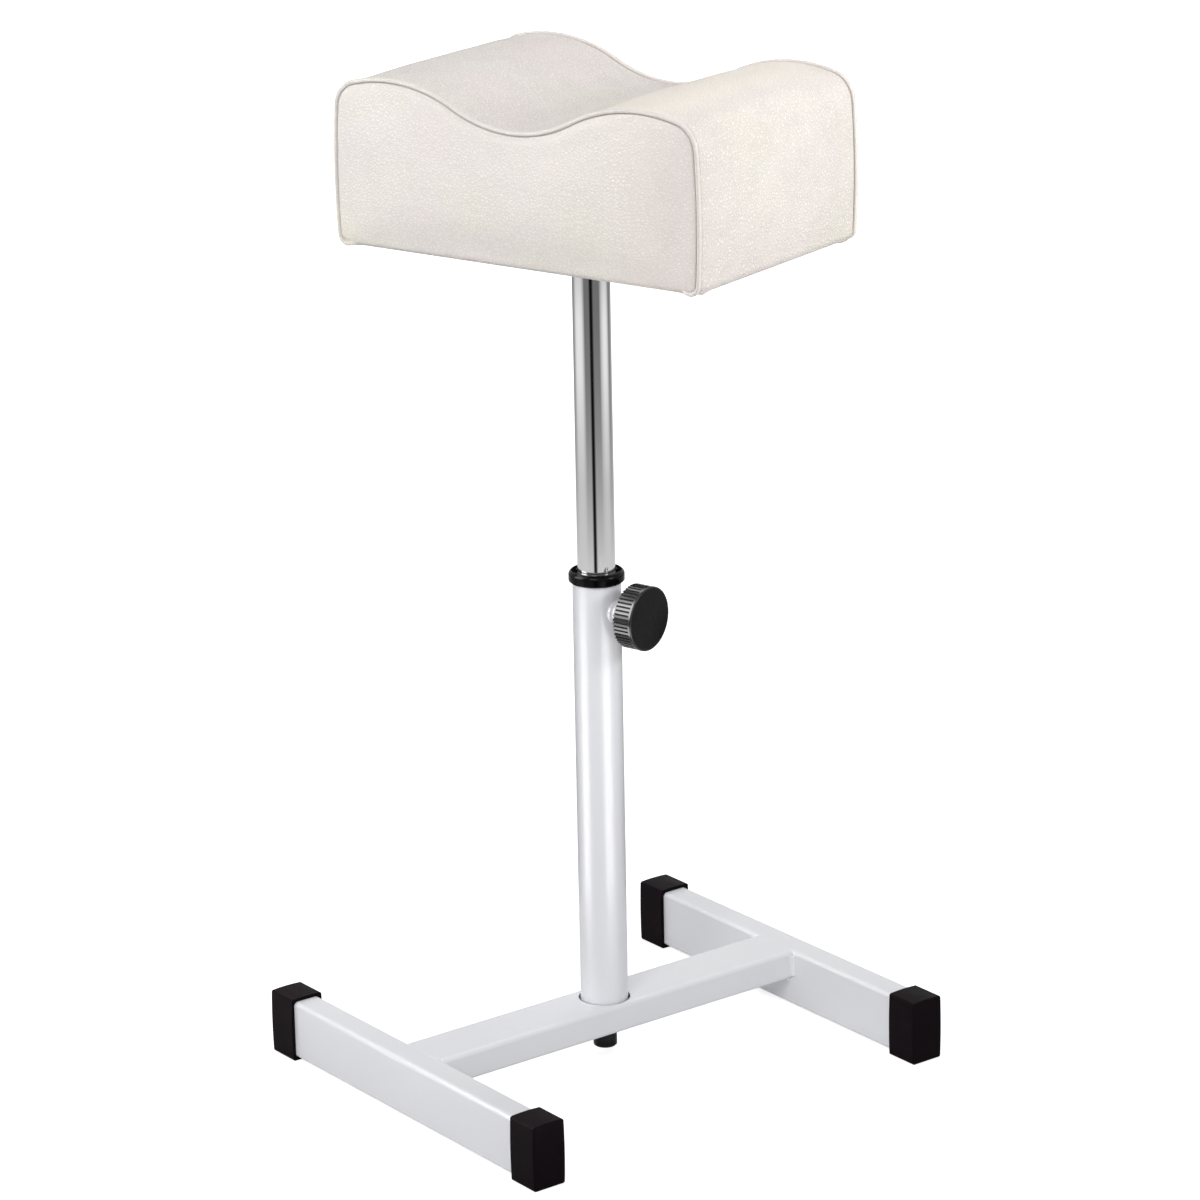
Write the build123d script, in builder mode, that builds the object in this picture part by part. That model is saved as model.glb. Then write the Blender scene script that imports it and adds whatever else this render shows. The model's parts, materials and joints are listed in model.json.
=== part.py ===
from build123d import *
import math
import os

# Base: one rectangular tube section serves all three bars of the H
bar_height = 40.0
bar_width = 20.0
bar_wall = 1.5
bar_corner = 3.0
base_length = 298.0
bar_spacing = 316.0
weld_leg = 3.0
weld_fill_share = 0.66

# End caps, which are also the feet
cap_wall = 2.0
cap_end = 2.5
cap_length = 25.0
cap_fit = 0.1
cap_bulge = 0.5
cap_corner = 1.6
cap_edge = 1.4

# Column, its foot plug and the bolt that holds it to the cross bar
column_diameter = 32.0
column_wall = 1.5
column_length = 311.5
column_hole_gap = 1.5
plug_height = 15.0
plug_fit = 0.1
bolt_diameter = 10.0
bolt_length = 20.0
bolt_head_diameter = 16.0
bolt_head_height = 10.0
bolt_socket_width = 8.0
bolt_socket_depth = 5.0
bolt_head_edge = 0.8
bolt_tip_chamfer = 1.0
bolt_hole_gap = 0.5
washer_diameter = 26.5
washer_thickness = 2.5
washer_gap = 0.25
spring_washer_diameter = 18.1
spring_washer_thickness = 2.5
spring_washer_gap = 0.1
spring_washer_slit = 1.2
slit_slant = 25.0
thread_fit = 0.05

# The clamp on the column and the cushion on the mast stand turned from the base by these angles
clamp_turn = 16.0
head_turn = 17.6

# Collar bush: a flange on the column's mouth and a slit sleeve inside it
flange_diameter = 37.0
flange_height = 8.0
flange_round = 3.2
flange_under_bevel = 1.0
flange_mouth_chamfer = 0.6
sleeve_length = 42.0
sleeve_slit = 2.0
slit_land = 8.0
bush_fit = 0.05
slide_fit = 0.08

# Clamp: boss on the column, screw, pad and knob
clamp_drop = 19.0
stud_diameter = 8.0
boss_diameter = 13.5
boss_reach = 10.0
boss_edge = 1.0
boss_weld = 1.2
pad_diameter = 7.6
pad_thickness = 3.5
pad_gap = 0.3
pad_side_gap = 0.4
pad_pocket_depth = 1.6
dog_diameter = 5.0
dog_fit = 0.1
dog_end_gap = 0.1
knob_diameter = 43.0
knob_thickness = 14.0
knob_standoff = 2.5
knob_hub_diameter = 18.0
knob_hub_reach = 1.5
knob_lip = 2.0
knob_lip_wall = 1.3
knob_lip_round = 0.7
knob_ring_wall = 3.0
knob_pocket_depth = 7.0
web_count = 6
web_thickness = 1.6
rib_count = 50
rib_depth = 0.9
rib_width = 1.4
rib_step = 0.15
knob_cap_dome = 0.8
knob_cap_fit = 0.1
hex_width = 13.0
hex_height = 5.3
hex_fit = 0.05

# Mast: chromed tube, its guide bush and spring ring, and the welded plate
mast_diameter = 25.0
mast_wall = 1.5
mast_length = 315.7
mast_lift_left = 19.3
guide_fit = 0.08
guide_height = 30.0
guide_lip = 2.5
guide_lip_width = 3.5
guide_end_gap = 0.1
ring_thickness = 1.2
ring_groove_depth = 0.5
ring_groove_gap = 0.1
ring_reach = 1.4
ring_opening = 50.0
plate_length = 120.0
plate_width = 90.0
plate_thickness = 3.0
plate_corner = 8.0
plate_weld_leg = 3.0
screw_spacing_long = 96.0
screw_spacing_wide = 66.0
screw_diameter = 6.0
screw_length = 16.0
screw_hole_gap = 0.3
screw_head_diameter = 12.0
screw_head_height = 3.3
screw_head_bevel = 1.4
screw_socket_width = 4.0
screw_socket_depth = 2.0

# Cushion: the front outline is a chain of tangent arcs, the same on both sides
cushion_length = 282.0
cushion_depth = 181.8
cushion_height = 112.6
crest_spacing = 191.2
valley_depth = 23.5
valley_radius = 94.4
shoulder_radius = 20.3
side_radius = 600.0
side_bulge_height = 45.0
under_radius = 8.0

# The cushion's middle lies this far off the mast's axis, to its right and towards its back
cushion_aside = 3.5
cushion_back = 2.7

# Cushion: board, foam, cover and piping
board_thickness = 12.0
nut_flange_diameter = 19.0
nut_flange_thickness = 1.2
nut_barrel_diameter = 8.0
nut_barrel_length = 9.0
nut_fit = 0.1
cover_thickness = 2.0
core_fit = 0.1
seam_draw = 1.2
piping_diameter = 3.0
piping_sink = 1.7
seam_gap = 0.05
panel_thickness = 2.0
panel_crown = 2.5
return_depth = 24.0
return_gap = 1.0
corner_stay = 34.0
cloth_thickness = 0.6
cloth_margin = 12.0
cloth_gap = 2.0
dome_width_shares = (1.0, 0.95, 0.78, 0.42)
dome_rise_shares = (0.0, 0.42, 0.83, 1.0)

# Cuts run this far past the face they open
overrun = 1.0

# Heights and radii that follow from the sizes above
bar_bottom = cap_wall + cap_fit
bar_top = bar_bottom + bar_height
cross_bottom = bar_top - bar_width
cross_length = bar_spacing - bar_width
side_bar_length = base_length - 2 * cap_end
column_radius = column_diameter / 2
column_bore_radius = column_radius - column_wall
column_foot = cross_bottom + bar_wall
column_top = column_foot + column_length
bolt_radius = bolt_diameter / 2
washer_bottom = cross_bottom - washer_thickness
spring_washer_bottom = washer_bottom - spring_washer_thickness
mast_radius = mast_diameter / 2
clamp_height = column_top - clamp_drop
stud_radius = stud_diameter / 2
pad_radius = pad_diameter / 2
pad_start = mast_radius + pad_gap
pad_end = pad_start + pad_thickness
stud_end = pad_end + dog_end_gap
boss_end = column_radius + boss_reach
knob_radius = knob_diameter / 2
knob_root_radius = knob_radius - rib_step - rib_depth
knob_back = boss_end + knob_standoff
knob_front = knob_back + knob_thickness
knob_floor = knob_front - knob_lip
knob_face_radius = knob_radius - knob_lip_wall
hex_seat = knob_floor - hex_height
ring_top = column_top - sleeve_length - mast_lift_left
groove_height = ring_thickness + 2 * ring_groove_gap
groove_bottom = ring_top + ring_groove_gap - groove_height
guide_top = groove_bottom - ring_groove_gap
guide_bottom = guide_top - guide_height
mast_bottom = guide_bottom + guide_lip + guide_end_gap
plate_bottom = mast_bottom + mast_length
plate_top = plate_bottom + plate_thickness
cushion_bottom = plate_top - cover_thickness
board_top = plate_top + board_thickness
piping_radius = piping_diameter / 2
core_half = cushion_depth / 2 - piping_diameter - seam_gap
piping_station = cushion_depth / 2 - piping_radius
panel_inset = piping_sink + piping_radius + seam_gap
panel_floor = piping_diameter + seam_gap
half_length = cushion_length / 2

# Centres of the outline's arcs, as (across, up) from the cushion's bottom middle
crest_half = crest_spacing / 2
wave_radius_sum = (crest_half**2 + valley_depth**2) / (2 * valley_depth)
hump_radius = wave_radius_sum - valley_radius
valley_centre = (0, cushion_height - valley_depth + valley_radius)
hump_centre = (crest_half, cushion_height - hump_radius)
side_centre = (half_length - side_radius, side_bulge_height)


def upper_meeting(first, first_radius, second, second_radius):
    """The higher of the two points at the given distances from two centres."""
    across = second[0] - first[0]
    up = second[1] - first[1]
    gap = math.hypot(across, up)
    along = (first_radius**2 - second_radius**2 + gap**2) / (2 * gap)
    aside = math.sqrt(first_radius**2 - along**2)
    foot = (first[0] + along * across / gap, first[1] + along * up / gap)
    one = (foot[0] - aside * up / gap, foot[1] + aside * across / gap)
    other = (foot[0] + aside * up / gap, foot[1] - aside * across / gap)
    return max(one, other, key=lambda point: point[1])


def bearing(start, end):
    """Direction from one centre to another, in degrees."""
    return math.degrees(math.atan2(end[1] - start[1], end[0] - start[0]))


shoulder_centre = upper_meeting(
    hump_centre, hump_radius - shoulder_radius, side_centre, side_radius - shoulder_radius
)


def across_and_back(turn):
    """The level directions to the right and to the back of a piece that is turned by an angle."""
    angle = math.radians(turn)
    return Vector(math.cos(angle), math.sin(angle), 0), Vector(-math.sin(angle), math.cos(angle), 0)


# Directions that turn with the head and with the clamp, and the planes that follow them
head_x, head_y = across_and_back(head_turn)
clamp_x, clamp_y = across_and_back(clamp_turn)
cushion_middle = head_x * cushion_aside + head_y * cushion_back
cushion_axis = Axis(cushion_middle, (0, 0, 1))


def level(height):
    """Horizontal plane at a height, turned with the head, its origin on the mast's axis."""
    return Plane(origin=(0, 0, height), x_dir=head_x, z_dir=(0, 0, 1))


def cushion_level(height):
    """Horizontal plane at a height, turned with the head, its origin at the cushion's middle."""
    return Plane(origin=cushion_middle + Vector(0, 0, height), x_dir=head_x, z_dir=(0, 0, 1))


def station(distance):
    """Upright plane across the cushion, this far behind its middle, facing forward."""
    origin = cushion_middle + head_y * distance + Vector(0, 0, cushion_bottom)
    return Plane(origin=origin, x_dir=head_x, z_dir=-head_y)


def clamp_station(reach):
    """Plane square to the clamp screw, this far from the column's axis, facing outward."""
    origin = clamp_x * reach + Vector(0, 0, clamp_height)
    return Plane(origin=origin, x_dir=clamp_y, z_dir=clamp_x)


clamp_side = Plane(origin=(0, 0, clamp_height), x_dir=clamp_x, z_dir=-clamp_y)
clamp_axis = Axis((0, 0, clamp_height), clamp_x)


def half_outline(inset, floor, share=1.0):
    """Arcs of the right half of the cushion's outline, drawn in from its skin by the inset.

    The floor is the height of the bottom line, and the share shrinks the whole outline
    about the middle of its height."""
    pivot = cushion_height / 2
    under_bend = under_radius - inset
    under_up = floor + under_bend
    under_reach = math.sqrt((side_radius - under_radius) ** 2 - (under_up - side_bulge_height) ** 2)
    under_centre = (side_centre[0] + under_reach, under_up)
    valley_end = bearing(valley_centre, hump_centre)
    shoulder_start = bearing(hump_centre, shoulder_centre)
    side_start = bearing(side_centre, shoulder_centre)
    under_start = bearing(side_centre, under_centre)
    arcs = (
        (valley_centre, valley_radius + inset, -90, valley_end),
        (hump_centre, hump_radius - inset, bearing(hump_centre, valley_centre), shoulder_start),
        (shoulder_centre, shoulder_radius - inset, shoulder_start, side_start),
        (side_centre, side_radius - inset, side_start, under_start),
        (under_centre, under_bend, under_start, -90),
    )
    for centre, radius, start, end in arcs:
        middle = (share * centre[0], pivot + share * (centre[1] - pivot))
        CenterArc(middle, share * radius, start, end - start)
    return share * under_centre[0], pivot + share * (floor - pivot)


def cushion_outline(inset, floor, share=1.0):
    """Face of the cushion's front outline."""
    with BuildLine() as border:
        reach, line_height = half_outline(inset, floor, share)
        Line((reach, line_height), (0, line_height))
        mirror(about=Plane.YZ)
    make_face(border.edges())


def bar_section():
    """Rectangular tube section, standing on edge."""
    RectangleRounded(bar_width, bar_height, bar_corner)
    RectangleRounded(
        bar_width - 2 * bar_wall, bar_height - 2 * bar_wall, bar_corner - bar_wall, mode=Mode.SUBTRACT
    )


def save(piece, label):
    """Label a finished sub-part and write its file."""
    piece.part.label = label
    export_step(piece.part, "parts/" + label + ".step")


# Side bars of the H, on edge
for side, label in ((-1, "front_side_bar"), (1, "rear_side_bar")):
    bar_start = (-side_bar_length / 2, side * bar_spacing / 2, bar_bottom + bar_height / 2)
    with BuildPart() as side_bar:
        with BuildSketch(Plane(origin=bar_start, x_dir=(0, 1, 0), z_dir=(1, 0, 0))):
            bar_section()
        extrude(amount=side_bar_length)
    save(side_bar, label)

# Cross bar, the same tube laid flat, with the column's hole above and the bolt's below
cross_start = (0, -cross_length / 2, cross_bottom + bar_width / 2)
with BuildPart() as cross_bar:
    with BuildSketch(Plane(origin=cross_start, x_dir=(0, 0, 1), z_dir=(0, 1, 0))):
        bar_section()
    extrude(amount=cross_length)
    with Locations((0, 0, bar_top)):
        Hole(radius=column_radius + column_hole_gap, depth=bar_wall + overrun)
    with Locations((0, 0, column_foot)):
        Hole(radius=bolt_radius + bolt_hole_gap, depth=bar_wall + overrun)
save(cross_bar, "cross_bar")

# Weld beads where the cross bar meets the side bars: both flanks, underneath, and the top
# groove over the side bar's rounded edge
flat_half = bar_height / 2 - bar_corner
fill = weld_fill_share * bar_corner
with BuildPart() as junction_welds:
    for end in (-1, 1):
        joint = end * cross_length / 2
        inward = -end
        for flank in (-1, 1):
            corner = (flank * bar_height / 2, joint)
            with BuildSketch(Plane.XY.offset(cross_bottom + bar_corner)):
                with Locations(corner):
                    Circle(weld_leg)
                with Locations((flank * (bar_height + weld_leg) / 2, joint + inward * weld_leg / 2)):
                    Rectangle(weld_leg, weld_leg, mode=Mode.INTERSECT)
            extrude(amount=bar_width - 2 * bar_corner)
        with BuildSketch(Plane(origin=(-flat_half, 0, 0), x_dir=(0, 1, 0), z_dir=(1, 0, 0))):
            with Locations((joint, cross_bottom)):
                Circle(weld_leg)
            with Locations((joint + inward * weld_leg / 2, cross_bottom - weld_leg / 2)):
                Rectangle(weld_leg, weld_leg, mode=Mode.INTERSECT)
        extrude(amount=2 * flat_half)
        with BuildSketch(Plane(origin=(-flat_half, 0, 0), x_dir=(0, 1, 0), z_dir=(1, 0, 0))):
            with Locations((joint + end * fill / 2, bar_top - fill / 2)):
                Rectangle(fill, fill)
            with Locations((joint + end * bar_corner, bar_top - bar_corner)):
                Circle(bar_corner, mode=Mode.SUBTRACT)
        extrude(amount=2 * flat_half)
save(junction_welds, "junction_welds")


# End caps: boxes with softly bulged walls, pushed over the bars' ends
def make_end_cap(end, side, label):
    half_width = bar_width / 2 + cap_fit + cap_wall
    top = bar_top + cap_fit + cap_wall
    mouth = base_length / 2 - cap_length
    origin = (end * mouth, side * bar_spacing / 2, 0)
    outward = Plane(origin=origin, x_dir=(0, end, 0), z_dir=(end, 0, 0))
    with BuildPart() as cap:
        with BuildSketch(outward):
            with BuildLine():
                Line((-half_width, 0), (half_width, 0))
                ThreePointArc((half_width, 0), (half_width + cap_bulge, top / 2), (half_width, top))
                ThreePointArc((half_width, top), (0, top + cap_bulge), (-half_width, top))
                ThreePointArc((-half_width, top), (-half_width - cap_bulge, top / 2), (-half_width, 0))
            make_face()
            fillet(vertices(), cap_corner)
        extrude(amount=cap_length)
        end_face = faces().sort_by(Axis.X)[-1 if end > 0 else 0]
        fillet(end_face.edges(), cap_edge)
        with BuildSketch(outward):
            with Locations((0, bar_bottom + bar_height / 2)):
                RectangleRounded(bar_width + 2 * cap_fit, bar_height + 2 * cap_fit, bar_corner + cap_fit)
        extrude(amount=cap_length - cap_end, mode=Mode.SUBTRACT)
    save(cap, label)


for side, side_name in ((-1, "front"), (1, "rear")):
    for end, end_name in ((-1, "left"), (1, "right")):
        make_end_cap(end, side, "end_cap_" + side_name + "_" + end_name)

# Column, drilled on one side for the clamp
with BuildPart() as outer_column:
    with BuildSketch(Plane.XY.offset(column_foot)):
        Circle(column_radius)
        Circle(column_bore_radius, mode=Mode.SUBTRACT)
    extrude(amount=column_length)
    with BuildSketch(clamp_station(0)):
        Circle(pad_radius + pad_side_gap)
    extrude(amount=column_diameter, mode=Mode.SUBTRACT)
save(outer_column, "outer_column")

# Threaded plug welded in the column's foot
with BuildPart() as column_foot_plug:
    with BuildSketch(Plane.XY.offset(column_foot)):
        Circle(column_bore_radius - plug_fit)
        Circle(bolt_radius + thread_fit, mode=Mode.SUBTRACT)
    extrude(amount=plug_height)
save(column_foot_plug, "column_foot_plug")

# Socket-head bolt from below, through its two washers and the cross bar's lower wall
with BuildPart() as centre_bolt:
    with BuildSketch(Plane.XY.offset(spring_washer_bottom)):
        Circle(bolt_radius)
    extrude(amount=bolt_length)
    chamfer(faces().sort_by(Axis.Z)[-1].edges(), bolt_tip_chamfer)
    with BuildSketch(Plane.XY.offset(spring_washer_bottom - bolt_head_height)):
        Circle(bolt_head_diameter / 2)
    extrude(amount=bolt_head_height)
    chamfer(faces().sort_by(Axis.Z)[0].edges(), bolt_head_edge)
    with BuildSketch(Plane.XY.offset(spring_washer_bottom - bolt_head_height)):
        RegularPolygon(bolt_socket_width / 2, 6, major_radius=False)
    extrude(amount=bolt_socket_depth, mode=Mode.SUBTRACT)
save(centre_bolt, "centre_bolt")

with BuildPart() as bolt_washer:
    with BuildSketch(Plane.XY.offset(washer_bottom)):
        Circle(washer_diameter / 2)
        Circle(bolt_radius + washer_gap, mode=Mode.SUBTRACT)
    extrude(amount=washer_thickness)
save(bolt_washer, "bolt_washer")

# Split spring washer, pressed flat, with its slanted slit
with BuildPart() as spring_washer:
    with BuildSketch(Plane.XY.offset(spring_washer_bottom)):
        Circle(spring_washer_diameter / 2)
        Circle(bolt_radius + spring_washer_gap, mode=Mode.SUBTRACT)
    extrude(amount=spring_washer_thickness)
    slit_middle = (spring_washer_diameter / 2, 0, spring_washer_bottom + spring_washer_thickness / 2)
    with Locations(Location(slit_middle, (slit_slant, 0, 0))):
        Box(spring_washer_diameter, spring_washer_slit, spring_washer_diameter, mode=Mode.SUBTRACT)
save(spring_washer, "spring_washer")

# Collar bush: rounded flange on the column's mouth, slit sleeve with a window for the pad
with BuildPart() as collar_bush:
    with BuildSketch(Plane.XY.offset(column_top)):
        Circle(flange_diameter / 2)
    extrude(amount=flange_height)
    rims = edges().filter_by(GeomType.CIRCLE).sort_by(Axis.Z)
    fillet(rims[-1], flange_round)
    chamfer(rims[0], flange_under_bevel)
    with BuildSketch(Plane.XY.offset(column_top - sleeve_length)):
        Circle(column_bore_radius - bush_fit)
    extrude(amount=sleeve_length)
    with BuildSketch(Plane.XY.offset(column_top - sleeve_length)):
        Circle(mast_radius + slide_fit)
    extrude(amount=sleeve_length + flange_height, mode=Mode.SUBTRACT)
    mouth = faces().filter_by(Plane.XY).sort_by(Axis.Z)[-1].edges().sort_by(SortBy.RADIUS)[0]
    chamfer(mouth, flange_mouth_chamfer)
    with BuildSketch(clamp_station(0)):
        Circle(pad_radius + pad_side_gap)
    extrude(amount=column_diameter, mode=Mode.SUBTRACT)
    with BuildSketch(level(column_top - sleeve_length)):
        with Locations((-column_radius, 0)):
            Rectangle(column_diameter, sleeve_slit)
    extrude(amount=sleeve_length - slit_land, mode=Mode.SUBTRACT)
save(collar_bush, "collar_bush")

# Threaded boss, coped to the column, with its weld as a flare at the root
with BuildPart() as clamp_boss:
    with BuildSketch(clamp_side):
        with BuildLine():
            root = column_radius + boss_weld
            rim = boss_diameter / 2
            Polyline(
                (0, 0),
                (0, rim + boss_weld),
                (column_radius, rim + boss_weld),
                (root, rim),
                (boss_end - boss_edge, rim),
                (boss_end, rim - boss_edge),
                (boss_end, 0),
                (0, 0),
            )
        make_face()
    revolve(axis=clamp_axis)
    with BuildSketch(Plane.XY.offset(clamp_height - boss_diameter)):
        Circle(column_radius)
    extrude(amount=2 * boss_diameter, mode=Mode.SUBTRACT)
    with BuildSketch(clamp_station(0)):
        Circle(stud_radius + thread_fit)
    extrude(amount=boss_end + overrun, mode=Mode.SUBTRACT)
save(clamp_boss, "clamp_boss")

# Nylon pad between the screw and the mast, with a pocket for the screw's dog point
with BuildPart() as pressure_pad:
    with BuildSketch(clamp_station(pad_start)):
        Circle(pad_radius)
    extrude(amount=pad_thickness)
    with BuildSketch(clamp_station(pad_end - pad_pocket_depth)):
        Circle(dog_diameter / 2 + dog_fit)
    extrude(amount=pad_pocket_depth, mode=Mode.SUBTRACT)
save(pressure_pad, "pressure_pad")

# Clamp screw: dog point, stud and the hex head that the knob grips
with BuildPart() as clamp_bolt:
    with BuildSketch(clamp_station(stud_end)):
        Circle(stud_radius)
    extrude(amount=hex_seat - stud_end)
    with BuildSketch(clamp_station(stud_end - pad_pocket_depth)):
        Circle(dog_diameter / 2)
    extrude(amount=pad_pocket_depth)
    with BuildSketch(clamp_station(hex_seat)):
        RegularPolygon(hex_width / 2, 6, major_radius=False)
    extrude(amount=hex_height)
save(clamp_bolt, "clamp_bolt")

# Knob: ribbed ring with a smooth lip, webs behind and a recess for its face
with BuildPart() as knob_body:
    with BuildSketch(clamp_station(knob_back)):
        Circle(knob_root_radius)
        with PolarLocations(knob_root_radius, rib_count):
            Rectangle(2 * rib_depth, rib_width)
    extrude(amount=knob_thickness - knob_lip)
    with BuildSketch(clamp_station(knob_floor)):
        Circle(knob_radius)
    extrude(amount=knob_lip)
    front_rim = edges().filter_by(GeomType.CIRCLE).sort_by(Axis(clamp_axis.position, clamp_x))[-1]
    fillet(front_rim, knob_lip_round)
    with BuildSketch(clamp_station(knob_back - knob_hub_reach)):
        Circle(knob_hub_diameter / 2)
    extrude(amount=knob_hub_reach)
    with BuildSketch(clamp_station(knob_back)):
        Circle(knob_root_radius - knob_ring_wall)
        with PolarLocations(knob_root_radius / 2, web_count):
            Rectangle(knob_root_radius, web_thickness, mode=Mode.SUBTRACT)
        Circle(knob_hub_diameter / 2, mode=Mode.SUBTRACT)
    extrude(amount=knob_pocket_depth, mode=Mode.SUBTRACT)
    with BuildSketch(clamp_station(knob_floor)):
        Circle(knob_face_radius)
    extrude(amount=knob_lip, mode=Mode.SUBTRACT)
    with BuildSketch(clamp_station(hex_seat)):
        RegularPolygon(hex_width / 2 + hex_fit, 6, major_radius=False)
    extrude(amount=hex_height, mode=Mode.SUBTRACT)
    with BuildSketch(clamp_station(knob_back - knob_hub_reach)):
        Circle(stud_radius + hex_fit)
    extrude(amount=knob_thickness, mode=Mode.SUBTRACT)
save(knob_body, "knob_body")

# Smooth face of the knob, slightly domed, pressed into the lip
face_edge = knob_face_radius - knob_cap_fit
with BuildPart() as knob_cap:
    with BuildSketch(clamp_side):
        with BuildLine():
            Polyline(
                (knob_front + knob_cap_dome, 0),
                (knob_floor, 0),
                (knob_floor, face_edge),
                (knob_front, face_edge),
            )
            TangentArc((knob_front + knob_cap_dome, 0), (knob_front, face_edge), tangent=(0, 1))
        make_face()
    revolve(axis=clamp_axis)
save(knob_cap, "knob_cap")

# Guide bush at the mast's lower end, with a lip that carries the tube
guide_radius = column_bore_radius - guide_fit
with BuildPart() as guide_bush:
    with BuildSketch(Plane.XY.offset(guide_bottom)):
        Circle(guide_radius)
        Circle(guide_radius - guide_lip_width - mast_wall, mode=Mode.SUBTRACT)
    extrude(amount=guide_height)
    with BuildSketch(Plane.XY.offset(guide_bottom + guide_lip)):
        Circle(mast_radius + slide_fit)
    extrude(amount=guide_height, mode=Mode.SUBTRACT)
save(guide_bush, "guide_bush")

# Mast tube with the groove for its spring ring
groove_radius = mast_radius - ring_groove_depth
with BuildPart() as mast_tube:
    with BuildSketch(Plane.XY.offset(mast_bottom)):
        Circle(mast_radius)
        Circle(mast_radius - mast_wall, mode=Mode.SUBTRACT)
    extrude(amount=mast_length)
    with BuildSketch(Plane.XY.offset(groove_bottom)):
        Circle(mast_radius + overrun)
        Circle(groove_radius, mode=Mode.SUBTRACT)
    extrude(amount=groove_height, mode=Mode.SUBTRACT)
save(mast_tube, "mast_tube")

# Open spring ring that keeps the bush on the mast
with BuildPart() as retaining_ring:
    with BuildSketch(Plane.XZ):
        with Locations((groove_radius + slide_fit, groove_bottom + ring_groove_gap)):
            Rectangle(ring_reach + ring_groove_depth, ring_thickness, align=(Align.MIN, Align.MIN))
    revolve(axis=Axis.Z, revolution_arc=360 - ring_opening)
save(retaining_ring, "retaining_ring")

# Plate under the cushion, and the weld bead between it and the mast
with BuildPart() as mount_plate:
    with BuildSketch(level(plate_bottom)):
        RectangleRounded(plate_length, plate_width, plate_corner)
        with GridLocations(screw_spacing_long, screw_spacing_wide, 2, 2):
            Circle(screw_diameter / 2 + screw_hole_gap, mode=Mode.SUBTRACT)
    extrude(amount=plate_thickness)
save(mount_plate, "mount_plate")

with BuildPart() as plate_weld:
    with BuildSketch(Plane.XZ):
        with BuildLine():
            Polyline(
                (mast_radius, plate_bottom),
                (mast_radius + plate_weld_leg, plate_bottom),
                (mast_radius, plate_bottom - plate_weld_leg),
                (mast_radius, plate_bottom),
            )
        make_face()
    revolve(axis=Axis.Z)
save(plate_weld, "plate_weld")

# Four button-head screws up through the plate and the board
with BuildPart() as plate_screws:
    with BuildSketch(level(plate_bottom - screw_head_height)):
        with GridLocations(screw_spacing_long, screw_spacing_wide, 2, 2):
            Circle(screw_head_diameter / 2)
    extrude(amount=screw_head_height)
    chamfer(faces().group_by(Axis.Z)[0].edges(), screw_head_bevel)
    with BuildSketch(level(plate_bottom)):
        with GridLocations(screw_spacing_long, screw_spacing_wide, 2, 2):
            Circle(screw_diameter / 2)
    extrude(amount=screw_length)
    with BuildSketch(level(plate_bottom - screw_head_height)):
        with GridLocations(screw_spacing_long, screw_spacing_wide, 2, 2):
            RegularPolygon(screw_socket_width / 2, 6, major_radius=False)
    extrude(amount=screw_socket_depth, mode=Mode.SUBTRACT)
save(plate_screws, "plate_screws")

# Tee nuts: flange on the board's top, barrel down into it
with BuildPart() as tee_nuts:
    with BuildSketch(level(board_top)):
        with GridLocations(screw_spacing_long, screw_spacing_wide, 2, 2):
            Circle(nut_flange_diameter / 2)
    extrude(amount=nut_flange_thickness)
    with BuildSketch(level(board_top - nut_barrel_length)):
        with GridLocations(screw_spacing_long, screw_spacing_wide, 2, 2):
            Circle(nut_barrel_diameter / 2)
    extrude(amount=nut_barrel_length)
    with BuildSketch(level(board_top - nut_barrel_length)):
        with GridLocations(screw_spacing_long, screw_spacing_wide, 2, 2):
            Circle(screw_diameter / 2 + thread_fit)
    extrude(amount=nut_barrel_length + nut_flange_thickness, mode=Mode.SUBTRACT)
save(tee_nuts, "tee_nuts")

# Plywood board: the lower slice of the cushion's inside
core_inset = cover_thickness + core_fit
with BuildPart() as seat_board:
    with BuildSketch(station(core_half)):
        cushion_outline(core_inset, cover_thickness)
    extrude(amount=2 * core_half)
    split(bisect_by=Plane.XY.offset(board_top), keep=Keep.BOTTOM)
    with BuildSketch(level(plate_top)):
        with GridLocations(screw_spacing_long, screw_spacing_wide, 2, 2):
            Circle(nut_barrel_diameter / 2 + nut_fit)
    extrude(amount=board_thickness, mode=Mode.SUBTRACT)
save(seat_board, "seat_board")

# Foam block on the board, shaped to the wave, with room for the nuts' flanges
with BuildPart() as foam_core:
    with BuildSketch(station(core_half)):
        cushion_outline(core_inset, cover_thickness)
    extrude(amount=2 * core_half)
    split(bisect_by=Plane.XY.offset(board_top), keep=Keep.TOP)
    with BuildSketch(level(board_top)):
        with GridLocations(screw_spacing_long, screw_spacing_wide, 2, 2):
            Circle(nut_flange_diameter / 2 + nut_fit)
    extrude(amount=nut_flange_thickness + nut_fit, mode=Mode.SUBTRACT)
save(foam_core, "foam_core")

# Cover band over the sides and the wavy top: full in the middle and drawn in at both seams,
# with a return under the board on the left and right
with BuildPart() as cover_band:
    with BuildSketch(station(core_half)):
        cushion_outline(seam_draw, 0)
    with BuildSketch(station(0)):
        cushion_outline(0, 0)
    with BuildSketch(station(-core_half)):
        cushion_outline(seam_draw, 0)
    loft()
    with BuildSketch(station(core_half)):
        cushion_outline(cover_thickness, cover_thickness)
    extrude(amount=2 * core_half, mode=Mode.SUBTRACT)
    with BuildSketch(cushion_level(cushion_bottom)):
        Rectangle(cushion_length - 2 * corner_stay, 2 * core_half)
    extrude(amount=cover_thickness, mode=Mode.SUBTRACT)
save(cover_band, "cover_band")

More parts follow.
